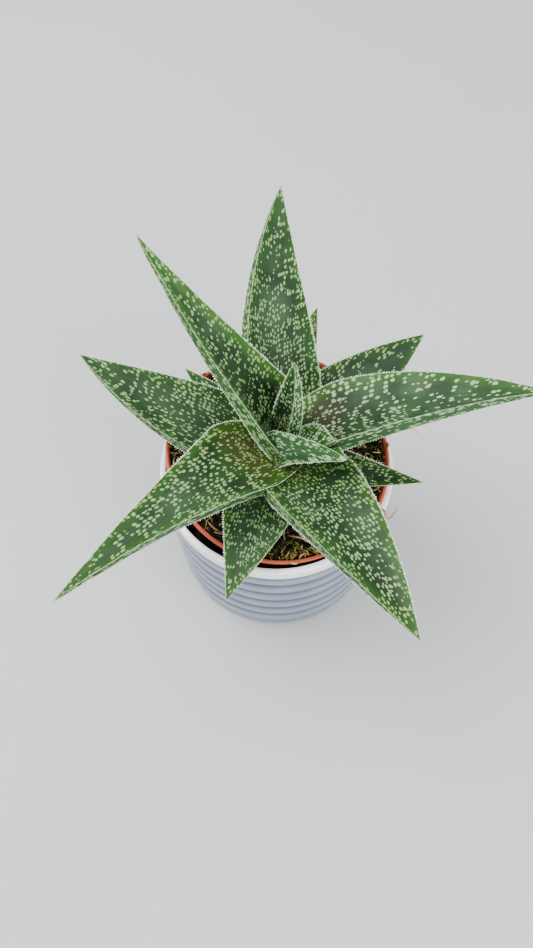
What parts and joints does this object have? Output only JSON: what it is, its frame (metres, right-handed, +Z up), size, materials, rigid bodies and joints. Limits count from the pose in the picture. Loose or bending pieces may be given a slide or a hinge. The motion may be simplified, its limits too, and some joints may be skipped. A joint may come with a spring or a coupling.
{
  "type": "potted gasteraloe",
  "caption": "Rosette of spotted, keeled, toothed succulent leaves in peat, in a plastic nursery pot that stands tilted inside a ribbed ceramic cover pot.",
  "frame": {"origin": "centre of the ceramic cover pot's flat underside", "axes": "+Z up; +Y away from the picture's camera; +X to its right"},
  "size_m": [0.2268, 0.2066, 0.2266],
  "materials": {
    "glazed_ceramic": "white satin glaze",
    "nursery_plastic": "matt terracotta-coloured moulded plastic",
    "peat": "damp crumbly peat with fibres and moss",
    "stem": "pale green living stem",
    "leaf": "semi-gloss fleshy leaf with cream spots and pearly toothed margins"
  },
  "bodies": {
    "root": {"ceramic_pot": "glazed_ceramic", "nursery_pot": "nursery_plastic", "soil": "peat", "stem": "stem", "leaf_new": "leaf", "leaf_centre_right": "leaf", "leaf_centre_upright": "leaf", "leaf_upper_left": "leaf", "leaf_right": "leaf", "leaf_lower_left": "leaf", "leaf_back": "leaf", "leaf_lower_right": "leaf", "leaf_left": "leaf", "leaf_back_right": "leaf", "leaf_front": "leaf", "leaf_right_small": "leaf", "leaf_behind_back": "leaf", "leaf_back_left_small": "leaf"}
  },
  "joints": []
}
